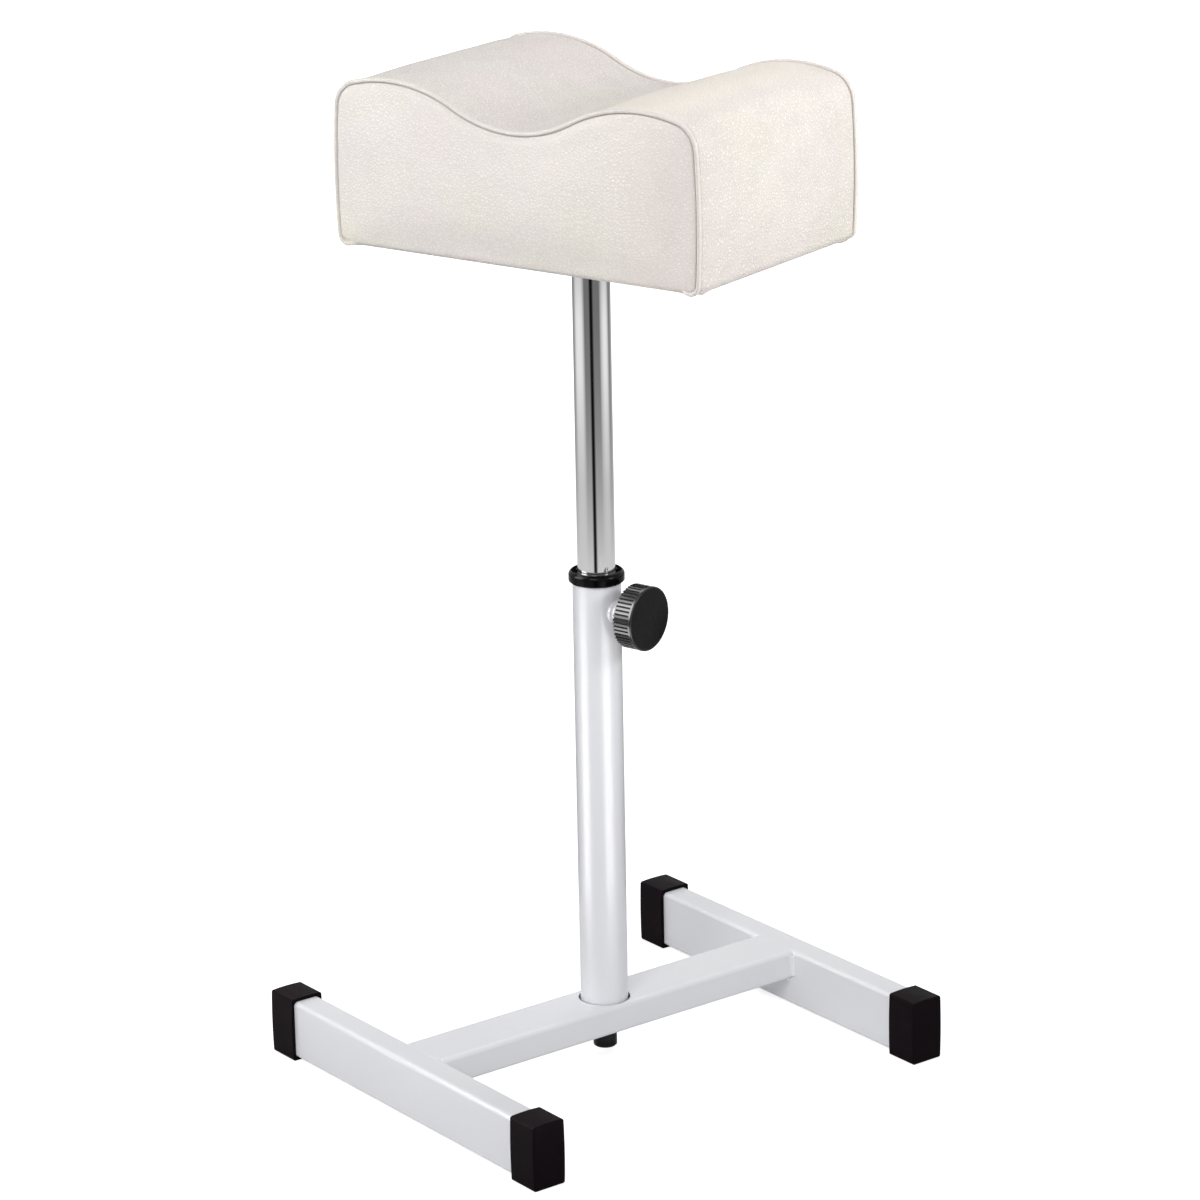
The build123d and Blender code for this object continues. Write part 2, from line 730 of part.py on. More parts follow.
# Front panel: crowned face inside the piping, its lower edge folded back under the board
with BuildPart() as front_panel:
    with BuildSketch(station(-core_half)):
        cushion_outline(panel_inset, panel_floor)
        with Locations((0, 0)):
            Rectangle(
                cushion_length - 2 * (under_radius + piping_diameter),
                under_radius,
                align=(Align.CENTER, Align.MIN),
            )
    extrude(amount=panel_thickness)
    for width_share, rise_share in zip(dome_width_shares, dome_rise_shares):
        with BuildSketch(station(-core_half - panel_thickness - rise_share * panel_crown)):
            cushion_outline(panel_inset, panel_floor, width_share)
    loft()
    with BuildSketch(cushion_level(cushion_bottom)):
        with Locations((0, -core_half)):
            Rectangle(
                cushion_length - 2 * (corner_stay + return_gap),
                return_depth,
                align=(Align.CENTER, Align.MIN),
            )
    extrude(amount=cover_thickness)
save(front_panel, "front_panel")

with BuildPart() as rear_panel:
    add(front_panel.part.rotate(cushion_axis, 180))
save(rear_panel, "rear_panel")

# Piping round the front seam, from under one lower corner over the top to the other
with BuildPart() as front_piping:
    with BuildLine(station(-piping_station)) as seam:
        half_outline(piping_sink, piping_radius)
        mirror(about=Plane(origin=cushion_middle, z_dir=head_x))
    seam_path = seam.wire()
    with BuildSketch(Plane(origin=seam_path @ 0, z_dir=seam_path % 0)):
        Circle(piping_radius)
    sweep(path=seam_path)
save(front_piping, "front_piping")

with BuildPart() as rear_piping:
    add(front_piping.part.rotate(cushion_axis, 180))
save(rear_piping, "rear_piping")

# Dust cloth under the board, cut out round the plate
with BuildPart() as bottom_cloth:
    with BuildSketch(cushion_level(cushion_bottom - cloth_thickness)):
        Rectangle(cushion_length - 2 * cloth_margin, 2 * (core_half - cloth_margin))
    extrude(amount=cloth_thickness)
    with BuildSketch(level(cushion_bottom - cloth_thickness)):
        RectangleRounded(plate_length + 2 * cloth_gap, plate_width + 2 * cloth_gap, plate_corner)
    extrude(amount=cloth_thickness, mode=Mode.SUBTRACT)
save(bottom_cloth, "bottom_cloth")
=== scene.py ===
import json
import math

import bpy
import numpy as np
from mathutils import Matrix, Vector, noise
from mathutils.kdtree import KDTree


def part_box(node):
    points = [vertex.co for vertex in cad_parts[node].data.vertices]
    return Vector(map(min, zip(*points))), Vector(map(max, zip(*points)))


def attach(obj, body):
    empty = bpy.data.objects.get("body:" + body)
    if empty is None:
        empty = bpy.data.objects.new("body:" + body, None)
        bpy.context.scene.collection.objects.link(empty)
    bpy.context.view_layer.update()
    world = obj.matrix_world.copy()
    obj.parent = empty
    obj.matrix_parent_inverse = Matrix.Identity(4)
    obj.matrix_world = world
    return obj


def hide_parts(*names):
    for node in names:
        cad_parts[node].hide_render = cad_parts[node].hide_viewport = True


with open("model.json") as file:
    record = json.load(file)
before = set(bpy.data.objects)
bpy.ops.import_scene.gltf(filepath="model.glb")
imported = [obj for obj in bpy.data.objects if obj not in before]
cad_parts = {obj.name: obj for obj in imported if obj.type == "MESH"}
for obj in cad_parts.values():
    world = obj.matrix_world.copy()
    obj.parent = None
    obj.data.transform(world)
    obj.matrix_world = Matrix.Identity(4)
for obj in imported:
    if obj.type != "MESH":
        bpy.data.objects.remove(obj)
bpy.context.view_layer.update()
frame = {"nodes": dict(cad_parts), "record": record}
nodes = frame["nodes"]

MM = 0.001
HEAD_TURN = math.radians(17.6)  # the cushion's turn from the base
scene = bpy.context.scene
scene.view_settings.view_transform = "Standard"

# ---- Camera: fitted to the photograph, 1200 pixels square, turned about the column's axis
FOCAL_PX, PHOTO_PX, SENSOR = 4709.1, 1200, 36.0
CLIP_NEAR, CLIP_FAR = 0.1, 50
AZIMUTH, ELEVATION, ROLL = math.radians(52.93), math.radians(17.65), math.radians(-1.07)
DISTANCE, ASIDE, AIM_HEIGHT = 3085.3 * MM, 1.97 * MM, 321.6 * MM

camera_side = Vector((math.sin(AZIMUTH), -math.cos(AZIMUTH), 0))
level_right = Vector((math.cos(AZIMUTH), math.sin(AZIMUTH), 0))
back = camera_side * math.cos(ELEVATION) + Vector((0, 0, math.sin(ELEVATION)))
level_up = back.cross(level_right)
right = level_right * math.cos(ROLL) + level_up * math.sin(ROLL)
up = level_up * math.cos(ROLL) - level_right * math.sin(ROLL)
camera = bpy.data.objects.new("camera", bpy.data.cameras.new("camera"))
scene.collection.objects.link(camera)
camera.data.sensor_width = SENSOR
camera.data.lens = FOCAL_PX / PHOTO_PX * SENSOR
camera.data.clip_start, camera.data.clip_end = CLIP_NEAR, CLIP_FAR
camera.rotation_mode = "QUATERNION"
camera.rotation_quaternion = Matrix((right, up, back)).transposed().to_quaternion()
camera.location = back * DISTANCE + level_right * ASIDE + Vector((0, 0, AIM_HEIGHT))
scene.camera = camera


# ---- Materials: two ends of each one's drift of colour, and the ranges that noise mostly keeps to
COAT = (0.868, 0.87, 0.905), (0.895, 0.897, 0.922)
CHROMED = (0.77, 0.77, 0.78), (0.8, 0.8, 0.805)
GALVANISED = (0.5, 0.5, 0.51), (0.62, 0.62, 0.62)
BLACKENED = (0.015, 0.015, 0.016), (0.03, 0.03, 0.032)
CAP_BLACKS = (0.006, 0.0032, 0.0048), (0.0082, 0.0048, 0.0066)
FACE_BLACKS = (0.004, 0.004, 0.0045), (0.006, 0.006, 0.0065)
# the knob's ribs, and its grooves painted darker: painted shade
RIB_BLACKS, GROOVE_SHADE_BLACK = ((0.004, 0.004, 0.004), (0.0055, 0.0055, 0.0055)), (0.001, 0.001, 0.001)
GLOSS_BLACKS = (0.0022, 0.0022, 0.0027), (0.0034, 0.0034, 0.004)
MILKY = (0.70, 0.69, 0.64), (0.76, 0.75, 0.70)
WOOD, PLY_DARK = ((0.42, 0.27, 0.14), (0.66, 0.47, 0.28)), (0.3, 0.18, 0.09)
FIBRES = (0.012, 0.012, 0.013), (0.05, 0.05, 0.052)
MIDDLING, UPPER = (0.3, 0.7), (0.35, 0.75)


class Nodes:
    """A tree of nodes, with short ways to add and join them. A value is a link or a constant."""

    def __init__(self, tree):
        self.tree = tree

    def add(self, kind, **settings):
        node = self.tree.nodes.new(kind)
        for name, value in settings.items():
            setattr(node, name, value)
        return node

    def feed(self, socket, value):
        """Gives a socket its value; a colour comes without its alpha."""
        if isinstance(value, (int, float)):
            socket.default_value = value
        elif isinstance(value, (tuple, Vector)):
            socket.default_value = value if socket.type == "VECTOR" else (*value, 1)
        else:
            self.tree.links.new(value, socket)

    def fill(self, node, values):
        """The node, its first sockets fed in order."""
        for socket, value in zip(node.inputs, values):
            self.feed(socket, value)
        return node

    def maths(self, operation, *values):
        return self.fill(self.add("ShaderNodeMath", operation=operation), values).outputs["Value"]

    def vectors(self, operation, *values, output="Vector"):
        return self.fill(self.add("ShaderNodeVectorMath", operation=operation), values).outputs[output]

    def span(self, value, low, high, to_low, to_high, way="LINEAR"):
        """The value, carried from one range of numbers to another."""
        node = self.add("ShaderNodeMapRange", interpolation_type=way)
        numbers = {"From Min": low, "From Max": high, "To Min": to_low, "To Max": to_high}
        for socket, number in numbers.items():
            node.inputs[socket].default_value = number
        self.feed(node.inputs["Value"], value)
        return node.outputs["Result"]

    def ramp(self, value, *stops):
        """The colour for a value between 0 and 1, from stops of a place and a colour."""
        node = self.add("ShaderNodeValToRGB")
        elements = node.color_ramp.elements
        while len(elements) < len(stops):
            elements.new(1.0)
        for element, (position, colour) in zip(elements, stops):
            element.position = position
            element.color = (*colour, 1)
        self.feed(node.inputs["Fac"], value)
        return node.outputs["Color"]

    def drift(self, value, between, colours):
        """From the first colour to the second while the value runs between two numbers."""
        return self.ramp(value, *zip(between, colours))

    def mix(self, amount, first, second):
        node = self.add("ShaderNodeMix", data_type="RGBA")
        for index, value in ((0, amount), (6, first), (7, second)):  # the sockets in use for colours
            self.feed(node.inputs[index], value)
        return node.outputs[2]

    def seen_by(self, *rays):
        """1 on any of the named light path rays, 0 on the others."""
        path = self.add("ShaderNodeLightPath")
        value = path.outputs[rays[0]]
        for ray in rays[1:]:
            value = self.maths("MAXIMUM", value, path.outputs[ray])
        return value


class Shade(Nodes):
    """A node material with one principled shader, in the row frame's coordinates."""

    def __init__(self, name, **constants):
        self.material = bpy.data.materials.new(name)
        self.material.use_nodes = True
        super().__init__(self.material.node_tree)
        self.shader = self.tree.nodes["Principled BSDF"]
        self.place = self.add("ShaderNodeTexCoord").outputs["Object"]
        for socket, value in constants.items():
            self.shader.inputs[socket.replace("_", " ")].default_value = value

    def mapped(self, socket, numbers):
        """The place with three numbers in a mapping's Scale or Rotation."""
        node = self.add("ShaderNodeMapping")
        node.inputs[socket].default_value = numbers
        self.feed(node.inputs["Vector"], self.place)
        return node.outputs["Vector"]

    def height(self):
        return self.fill(self.add("ShaderNodeSeparateXYZ"), (self.place,)).outputs["Z"]

    def noise(self, scale, detail, place=None, distortion=0.0, rough=0.5, output="Fac"):
        """Cloudy noise, its scale in swells per metre."""
        node = self.add("ShaderNodeTexNoise")
        numbers = {"Scale": scale, "Detail": detail, "Roughness": rough, "Distortion": distortion}
        for socket, number in numbers.items():
            node.inputs[socket].default_value = number
        self.feed(node.inputs["Vector"], place or self.place)
        return node.outputs[output]

    def cells(self, scale, place):
        """Distance from the edges of rounded cells, their scale in cells per metre."""
        node = self.add("ShaderNodeTexVoronoi", feature="DISTANCE_TO_EDGE")
        node.inputs["Scale"].default_value = scale
        self.feed(node.inputs["Vector"], place)
        return node.outputs["Distance"]

    def bump(self, height, distance, strength):
        """Relief on top of what there is: height times the distance in metres."""
        node = self.add("ShaderNodeBump")
        node.inputs["Strength"].default_value = strength
        node.inputs["Distance"].default_value = distance
        self.feed(node.inputs["Height"], height)
        normal = self.shader.inputs["Normal"]
        if normal.links:
            self.feed(node.inputs["Normal"], normal.links[0].from_socket)
        self.feed(normal, node.outputs["Normal"])

    def colour(self, value):
        self.feed(self.shader.inputs["Base Color"], value)

    def rough(self, value):
        self.feed(self.shader.inputs["Roughness"], value)

    def glow(self, colour, strength):
        return self.fill(self.add("ShaderNodeEmission"), (colour, strength)).outputs[0]

    def surface(self, shader):
        """The material, with another shader in place of the principled one."""
        self.tree.nodes.remove(self.shader)
        self.feed(self.tree.nodes["Material Output"].inputs["Surface"], shader)
        return self.material


def powder_coat():
    """White powder coat: a slow drift of tone, an uneven sheen and a skin like fine orange peel."""
    s = Shade("powder_coat", Specular_IOR_Level=0.5, Coat_Weight=0.35, Coat_Roughness=0.16)
    s.colour(s.drift(s.noise(9, 3), MIDDLING, COAT))
    s.rough(s.span(s.noise(260, 3), *MIDDLING, 0.34, 0.44))
    s.bump(s.noise(620, 2), distance=0.12 * MM, strength=0.35)
    s.bump(s.noise(70, 1), distance=0.4 * MM, strength=0.12)
    return s.material


def moulded(name, tones, rough, grain, depth, gloss=0.5):
    """Moulded plastic: two near tones, a sheen between two roughnesses and a fine grain."""
    s = Shade(name, Specular_IOR_Level=gloss)
    s.colour(s.drift(s.noise(35, 4), UPPER, tones))
    s.rough(s.span(s.noise(130, 4), *MIDDLING, *rough))
    s.bump(s.noise(grain, 3), distance=depth, strength=0.5)
    return s.material


def plated(name, tones, rough):
    """Plated or blackened steel: turned and rolled marks."""
    s = Shade(name, Metallic=1.0)
    s.colour(s.drift(s.noise(160, 4), MIDDLING, tones))
    s.rough(s.span(s.noise(500, 4), *MIDDLING, *rough))
    s.bump(s.noise(1400, 2), distance=0.03 * MM, strength=0.5)
    return s.material


def chrome():
    """Drawn and chromed tube: faint streaks along it."""
    s = Shade("chrome", Metallic=1.0)
    s.colour(s.drift(s.noise(20, 2), MIDDLING, CHROMED))
    streaks = s.noise(900, 3, s.mapped("Scale", (1, 1, 0.02)))
    s.rough(s.span(streaks, *UPPER, 0.035, 0.085))
    s.bump(streaks, distance=0.01 * MM, strength=0.15)
    return s.material


RIB_FLOOR, RIB_TOP = 20.8 * MM, 21.2 * MM  # from the knob's axis
RIB_ROUGH, GROOVE_ROUGH = (0.15, 0.21), 0.85


def ribbed_black(middle, axis):
    """Glossy black plastic whose rib grooves, nearer to the knob's axis, are dull and painted darker, a
    painted shade.
    """
    s = Shade("knob_black", Specular_IOR_Level=0.5)
    aside = s.vectors("CROSS_PRODUCT", s.vectors("SUBTRACT", s.place, middle), axis)
    radius = s.vectors("LENGTH", aside, output="Value")
    groove = s.span(radius, RIB_FLOOR, RIB_TOP, 1.0, 0.0)
    ribs = s.span(s.noise(130, 4), *MIDDLING, *RIB_ROUGH)
    s.rough(s.maths("MAXIMUM", s.maths("MULTIPLY", groove, GROOVE_ROUGH), ribs))
    # the grooves painted darker than the ribs: painted shade
    s.colour(s.mix(groove, s.drift(s.noise(35, 4), UPPER, RIB_BLACKS), GROOVE_SHADE_BLACK))
    s.bump(s.noise(1200, 3), distance=0.03 * MM, strength=0.5)
    return s.material


def plywood():
    """Birch plywood: plies along the edge, a long grain on the faces."""
    s = Shade("plywood", Roughness=0.75)
    plies = s.add("ShaderNodeTexWave", wave_type="BANDS", bands_direction="Z")
    plies.inputs["Scale"].default_value = 80
    plies.inputs["Distortion"].default_value = 1.5
    s.feed(plies.inputs["Vector"], s.place)
    grain = s.noise(14, 6, s.mapped("Scale", (1, 14, 14)), distortion=0.6)
    s.colour(s.mix(s.span(plies.outputs["Fac"], 0, 1, 0, 0.35), s.drift(grain, MIDDLING, WOOD), PLY_DARK))
    s.bump(grain, distance=0.3 * MM, strength=0.4)
    return s.material


def dust_cloth_material():
    """Black non-woven cloth: fibres both ways."""
    s = Shade("dust_cloth", Roughness=0.9, Sheen_Weight=0.2)
    fibres = s.noise(700, 5, s.mapped("Scale", (1, 0.25, 1)), distortion=0.8)
    across = s.noise(600, 5, s.mapped("Scale", (0.25, 1, 1)), distortion=0.8)
    both = s.maths("ADD", fibres, across)
    s.colour(s.drift(s.span(both, 0.7, 1.3, 0, 1), (0.2, 0.8), FIBRES))
    s.bump(both, distance=0.2 * MM, strength=0.8)
    return s.material


# Leather: the tints that drift over it, and the colours of its hump (peach, partly painted light), clouds,
# grooves (partly painted shade) and of the painted shade beside the seams.
# Where a name holds four numbers, a value is carried from the first two to the last two
TINTS = (
    (0.28, (0.850, 0.748, 0.720)),
    (0.42, (0.842, 0.762, 0.726)),
    (0.50, (0.832, 0.780, 0.728)),
    (0.58, (0.832, 0.790, 0.706)),
    (0.70, (0.838, 0.792, 0.675)),
)
PEACH_AND_PAINTED_LIGHT, CLOUD, CLOUDY = (0.925, 0.845, 0.745), (0.80, 0.765, 0.735), (0.35, 0.7, 0.0, 0.16)
# the grain grooves' colour, partly painted shade; then the colour of the painted shade beside the seams
GROOVE_SHADE, SEAM_SHADE_COLOUR = (0.60, 0.56, 0.53), (0.33, 0.31, 0.29)
# The right hump is smoother and a lighter peach: partly a warm tint, partly painted light on its lit side.
# Along the cushion, in metres from the column, it sets in and fades
HUMP_WAY = (math.cos(HEAD_TURN), math.sin(HEAD_TURN), 0)
HUMP_SETS_IN, HUMP_FADES = (0.01, 0.085, 0.0, 0.95), (0.105, 0.138, 1.0, 0.22)
HUMP_ON_PANEL, HUMP_SMOOTH = 0.34, (0.2, 0.95, 1.0, 0.3)
# Pebbles of two sizes: cells per metre, where their rounded edges start and end, and share of the height
PEBBLES, FINE_PEBBLES = (450, 0.02, 0.36, 0.75), (900, 0.02, 0.32, 0.25)
WOBBLE_SCALE, WOBBLE = 300, 1.2 * MM
# How much darker the grooves between pebbles are, by the pebbles' height and in patches: partly the grain's
# own tone, partly painted shade
GROOVED, PATCHED = (0.1, 0.9, 0.42, 0.0), (0.35, 0.65, 0.78, 1.0)
BAND_GROOVED, BAND_RELIEF = 1.9, 2.2  # times the panels' grain
UNEVEN_BUMP, GRAIN_BUMP, LEATHER_ROUGH = 2.2 * MM, 0.32 * MM, (0.58, 0.40)


def leather(name, grain, painted_seam_shade=False, welt_shade=0.0):
    """Ivory artificial leather: a wobbly pebble grain, a soft sheen and a slow drift of tints.

    One with painted seam shade reads two attributes of the cover: the painted shade in the creases beside the
    seams, and coarse on the band."""
    s = Shade(
        name, Specular_IOR_Level=0.42, Sheen_Weight=0.12, Sheen_Roughness=0.5,
        Subsurface_Weight=0.06, Subsurface_Scale=2 * MM, Subsurface_Radius=(1.0, 0.75, 0.6),
    )
    tone = s.ramp(s.noise(13, 2, rough=0.45), *TINTS)
    if painted_seam_shade:
        # painted shade in the creases beside the seams, read from the cover
        seam_shade = s.add("ShaderNodeAttribute", attribute_name="seam_shade").outputs["Fac"]
        coarse = s.add("ShaderNodeAttribute", attribute_name="coarse").outputs["Fac"]
        # the right hump: a lighter peach, partly tint and partly painted light
        along = s.vectors("DOT_PRODUCT", s.place, HUMP_WAY, output="Value")
        lit_peach_hump = s.span(coarse, 0.0, 1.0, HUMP_ON_PANEL, 1.0)
        for zone in (HUMP_SETS_IN, HUMP_FADES):
            lit_peach_hump = s.maths("MULTIPLY", lit_peach_hump, s.span(along, *zone, "SMOOTHSTEP"))
        tone = s.mix(lit_peach_hump, tone, PEACH_AND_PAINTED_LIGHT)
    tone = s.mix(s.span(s.noise(34, 3), *CLOUDY), tone, CLOUD)

    wobble = s.vectors("MULTIPLY", s.noise(WOBBLE_SCALE, 2, output="Color"), (WOBBLE,) * 3)
    place = s.vectors("ADD", s.place, wobble)
    pebble, fine = (
        s.maths("MULTIPLY", s.span(s.cells(scale, place), low, high, 0.0, 1.0, "SMOOTHSTEP"), share)
        for scale, low, high, share in (PEBBLES, FINE_PEBBLES)
    )
    height = s.maths("ADD", pebble, fine)
    # the grooves painted darker in patches: partly the grain's tone, partly painted shade
    groove_shade = s.maths("MULTIPLY", s.span(height, *GROOVED), s.span(s.noise(55, 2), *PATCHED))
    relief = height
    if painted_seam_shade:
        groove_shade = s.maths("MULTIPLY", groove_shade, s.span(lit_peach_hump, *HUMP_SMOOTH))
        groove_shade = s.maths("MULTIPLY", groove_shade, s.span(coarse, 0.0, 1.0, 1.0, BAND_GROOVED))
        relief = s.maths("MULTIPLY", height, s.span(coarse, 0.0, 1.0, 1.0, BAND_RELIEF))

    tone = s.mix(groove_shade, tone, GROOVE_SHADE)
    # painted shade: the whole leather mixed this far toward the groove colour, used for the welt
    if welt_shade:
        tone = s.mix(welt_shade, tone, GROOVE_SHADE)
    if painted_seam_shade:
        # painted shade beside the seams
        tone = s.mix(seam_shade, tone, SEAM_SHADE_COLOUR)
    s.colour(tone)
    s.bump(s.noise(32, 2), UNEVEN_BUMP, strength=0.10)
    s.bump(relief, GRAIN_BUMP, strength=grain)
    s.rough(s.span(height, 0.0, 1.0, *LEATHER_ROUGH))
    return s.material


WHITE = powder_coat()
CHROME = chrome()
CAP_BLACK = moulded("cap_black", CAP_BLACKS, (0.30, 0.44), grain=900, depth=0.06 * MM, gloss=0.025)
KNOB_FACE = moulded("knob_face", FACE_BLACKS, (0.22, 0.34), grain=1200, depth=0.03 * MM, gloss=0.12)
KNOB_MIDDLE = (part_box("knob_body")[0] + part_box("knob_body")[1]) / 2
KNOB_BLACK = ribbed_black((0, 0, KNOB_MIDDLE.z), Vector((KNOB_MIDDLE.x, KNOB_MIDDLE.y, 0)).normalized())
GLOSS_BLACK = moulded("gloss_black", GLOSS_BLACKS, (0.09, 0.14), grain=500, depth=0.02 * MM, gloss=0.08)
NYLON = moulded("nylon", MILKY, (0.4, 0.55), grain=800, depth=0.05 * MM)
STEEL = plated("zinc_steel", GALVANISED, (0.28, 0.45))
BLACK_STEEL = plated("black_steel", BLACKENED, (0.3, 0.5))
PLYWOOD = plywood()
LEATHER = leather("ivory_leather", grain=0.8, painted_seam_shade=True)
# the welt: the same leather painted darker, a painted shade
WELT_LEATHER = leather("ivory_welt", grain=0.4, welt_shade=0.3)
CLOTH = dust_cloth_material()

FINISHES = {
    "white_coat": WHITE, "chrome": CHROME, "plain_steel": STEEL, "black_steel": BLACK_STEEL,
    "black_plastic": CAP_BLACK, "black_gloss": GLOSS_BLACK, "nylon": NYLON, "plywood": PLYWOOD,
    "foam": LEATHER, "ivory_leather": LEATHER, "dust_cloth": CLOTH,
}
FINISHED_APART = {"knob_body": KNOB_BLACK, "knob_cap": KNOB_FACE}
RIB_SOFT, RIB_ANGLE = 0.45 * MM, math.radians(40)

slots = {part["node"]: part["material_slot"] for part in frame["record"]["subparts"]}
for name, node in nodes.items():
    finish = FINISHED_APART.get(name) or FINISHES[slots[name]]
    node.data.materials.clear()
    node.data.materials.append(finish)

knob_edges = nodes["knob_body"].modifiers.new("soft_ribs", "BEVEL")
knob_edges.width, knob_edges.segments = RIB_SOFT, 2
knob_edges.limit_method, knob_edges.angle_limit = "ANGLE", RIB_ANGLE

# ---- Cushion: sizes in millimetres, as in the CAD, across (u), deep (v) and up (w)
MIDDLE_U, MIDDLE_V = 3.5, 2.7
LENGTH, HEIGHT = 282.0, 112.6
CREST_HALF, VALLEY_DEPTH, VALLEY_R = 95.6, 23.5, 94.4
SHOULDER_R, SIDE_R, SIDE_HIGH, UNDER_R = 20.3, 600.0, 45.0, 8.0
SEAM_V, PIPE_R, PIPE_SINK = 89.4, 1.5, 1.7
WAVE_SUM = (CREST_HALF**2 + VALLEY_DEPTH**2) / (2 * VALLEY_DEPTH)
HUMP_R = WAVE_SUM - VALLEY_R
VALLEY_C = np.array((0, HEIGHT - VALLEY_DEPTH + VALLEY_R))
HUMP_C = np.array((CREST_HALF, HEIGHT - HUMP_R))
SIDE_C = np.array((LENGTH / 2 - SIDE_R, SIDE_HIGH))
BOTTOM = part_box("cover_band")[0].z


def bearing(start, end):
    return math.degrees(math.atan2(end[1] - start[1], end[0] - start[0]))


def upper_meeting(first, first_radius, second, second_radius):
    """The upper one of the two points where two circles meet."""
    gap = np.linalg.norm(second - first)
    along = (first_radius**2 - second_radius**2 + gap**2) / (2 * gap)
    aside = math.sqrt(first_radius**2 - along**2)
    way = (second - first) / gap
    both = [first + along * way + side * aside * np.array((-way[1], way[0])) for side in (-1, 1)]
    return max(both, key=lambda point: point[1])


SHOULDER_C = upper_meeting(HUMP_C, HUMP_R - SHOULDER_R, SIDE_C, SIDE_R - SHOULDER_R)
# Points along the outline's flat bottom and its arcs
FLAT_N, UNDER_N, SIDE_N, SHOULDER_N, HUMP_N, VALLEY_N = 34, 8, 34, 15, 58, 22


def outline(inset, floor, share=1.0, piping=False):
    """Points round the cushion's front outline, from the bottom's middle round by the right.

    With piping, only the open line from one bottom corner's end to the other's."""
    bend = UNDER_R - inset
    under_up = floor + bend
    reach = math.sqrt((SIDE_R - UNDER_R) ** 2 - (under_up - SIDE_HIGH) ** 2)
    under_c = np.array((SIDE_C[0] + reach, under_up))
    side_low, side_high = bearing(SIDE_C, under_c), bearing(SIDE_C, SHOULDER_C)
    hump_low = bearing(HUMP_C, SHOULDER_C)
    valley_end = bearing(VALLEY_C, HUMP_C)
    arcs = (
        (under_c, bend, -90, side_low, UNDER_N),
        (SIDE_C, SIDE_R - inset, side_low, side_high, SIDE_N),
        (SHOULDER_C, SHOULDER_R - inset, side_high, hump_low, SHOULDER_N),
        (HUMP_C, HUMP_R - inset, hump_low, valley_end + 180, HUMP_N),
        (VALLEY_C, VALLEY_R + inset, valley_end, -90, VALLEY_N),
    )
    points = [] if piping else [(under_c[0] * i / FLAT_N, floor) for i in range(FLAT_N)]
    for centre, radius, start, end, count in arcs:
        angles = np.radians(np.linspace(start, end, count, endpoint=False))
        points += list(np.c_[centre[0] + radius * np.cos(angles), centre[1] + radius * np.sin(angles)])
    points.append((0, VALLEY_C[1] - VALLEY_R - inset))
    half = np.array(points, float)
    mirrored = half[::-1][1:] * (-1, 1)
    whole = np.concatenate((half, mirrored if piping else mirrored[:-1]))
    pivot = HEIGHT / 2
    return np.c_[whole[:, 0] * share, pivot + (whole[:, 1] - pivot) * share]


# The cover from its middle to the front: distance short of the seam, inset and floor
BAND = (
    (89.4, 0.5, 0), (80, 0.5, 0), (71, 0.5, 0), (62, 0.52, 0), (53, 0.56, 0), (45, 0.62, 0), (37, 0.7, 0),
    (29.5, 0.8, 0), (23, 0.92, 0), (17.5, 1.05, 0), (13, 1.15, 0), (9.5, 1.25, 0), (6.7, 1.3, 0.1),
    (4.7, 1.35, 0.35), (3.3, 1.5, 0.75), (2.4, 1.8, 1.1), (1.7, 2.25, 1.5), (1.0, 2.85, 2.0), (0.3, 3.3, 2.6),
    (-0.3, 3.35, 3.2), (-0.8, 3.55, 4.0), (-1.2, 4.1, 4.9), (-1.5, 5.0, 5.8), (-1.7, 6.4, 6.8),
)
# The front panel from there to its middle: distance past the seam and share of the outline
DOME = (
    (1.9, 0.975), (2.1, 0.955), (2.25, 0.93), (2.4, 0.90), (2.5, 0.865), (2.6, 0.825), (2.7, 0.78),
    (2.8, 0.73), (2.85, 0.68), (2.9, 0.62), (2.95, 0.56), (3.0, 0.49), (3.0, 0.42), (3.0, 0.34),
    (3.0, 0.26), (3.0, 0.18), (3.0, 0.10),
)
INSET_MOST = 7.4  # leaves the under arcs a radius


def cushion_form(shrink=0.0):
    """Points and faces of the closed cover: bands of the outline, ended by shrinking outlines."""
    loops = []
    for short, inset, floor in BAND:
        loops.append((SEAM_V - short, outline(min(inset + shrink, INSET_MOST), floor)))
    last = BAND[-1]
    for past, share in DOME:
        loops.append((SEAM_V + past, outline(last[1], last[2], share)))
    front = [np.c_[points[:, 0], np.full(len(points), -depth + shrink * (depth > SEAM_V)), points[:, 1]]
             for depth, points in loops]
    rear = [loop * (1, -1, 1) for loop in front[1:]]
    stack = front[::-1] + rear
    count = len(stack[0])
    points = np.concatenate(stack)
    step = np.arange(count)
    after = (step + 1) % count
    faces = []
    for row in range(len(stack) - 1):
        low, high = row * count, (row + 1) * count
        faces += list(np.c_[low + step, low + after, high + after, high + step])
    crown = SEAM_V + DOME[-1][0] - shrink
    middles = np.array(((0, -crown, HEIGHT / 2), (0, crown, HEIGHT / 2)))
    first, second = len(points), len(points) + 1
    points = np.concatenate((points, middles))
    top = (len(stack) - 1) * count
    faces = [tuple(face) for face in faces]
    faces += [(first, after_i, step_i) for step_i, after_i in zip(step, after)]
    faces += [(second, top + step_i, top + after_i) for step_i, after_i in zip(step, after)]
    return points, faces


def in_row(points):
    """Cushion millimetres to the row frame's metres."""
    c, s = math.cos(HEAD_TURN), math.sin(HEAD_TURN)
    u, v, w = points[:, 0] + MIDDLE_U, points[:, 1] + MIDDLE_V, points[:, 2]
    return np.c_[(u * c - v * s) * MM, (u * s + v * c) * MM, w * MM + BOTTOM]


def make_mesh(name, points, faces):
    mesh = bpy.data.meshes.new(name)
    places = [tuple(map(float, point)) for point in points]
    mesh.from_pydata(places, [], [tuple(map(int, face)) for face in faces])
    return mesh


